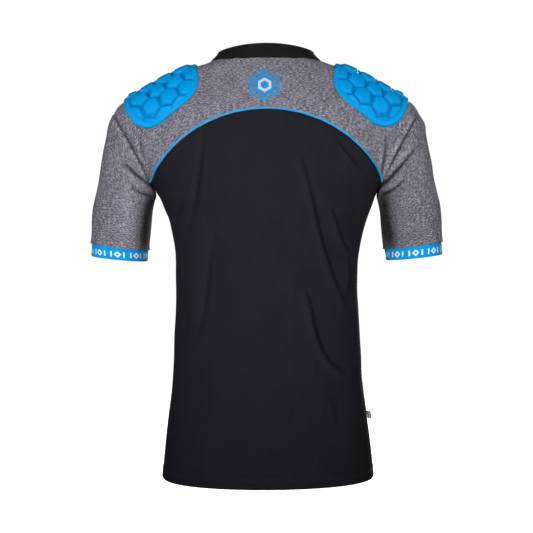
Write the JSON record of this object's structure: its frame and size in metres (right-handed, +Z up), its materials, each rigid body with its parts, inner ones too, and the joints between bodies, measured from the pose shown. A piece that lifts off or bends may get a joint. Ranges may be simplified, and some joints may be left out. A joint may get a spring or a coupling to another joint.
{
  "type": "padded rugby top",
  "caption": "Short-sleeved stretch top seen filled out: arched marl yoke with piping, foam shoulder pads moulded in six-sided cells, elastic cuffs, stand collar, open neck and hem.",
  "frame": {"origin": "midway between the two points where the shoulder line meets the neck seam, where the wearer's shoulders carry it", "axes": "+Z up towards the neck, the front faces -Y, +X is the wearer's left"},
  "size_m": [0.5496, 0.2338, 0.6646],
  "materials": {
    "black_jersey": "matte knit",
    "grey_marl": "heathered knit",
    "blue_elastic": "woven elastic",
    "black_rib": "matte knit band",
    "blue_foam": "moulded foam with a cloth face",
    "blue_cord": "covered cord",
    "grey_tape": "woven tape"
  },
  "bodies": {
    "root": {"back_panel": "black_jersey", "front_panel": "black_jersey", "yoke_back": "grey_marl", "yoke_front": "grey_marl", "sleeve_left": "grey_marl", "sleeve_right": "grey_marl", "cuff_left": "blue_elastic", "cuff_right": "blue_elastic", "collar": "black_rib", "pad_left": "blue_foam", "pad_right": "blue_foam", "piping_back": "blue_cord", "side_label": "grey_tape"}
  },
  "joints": []
}
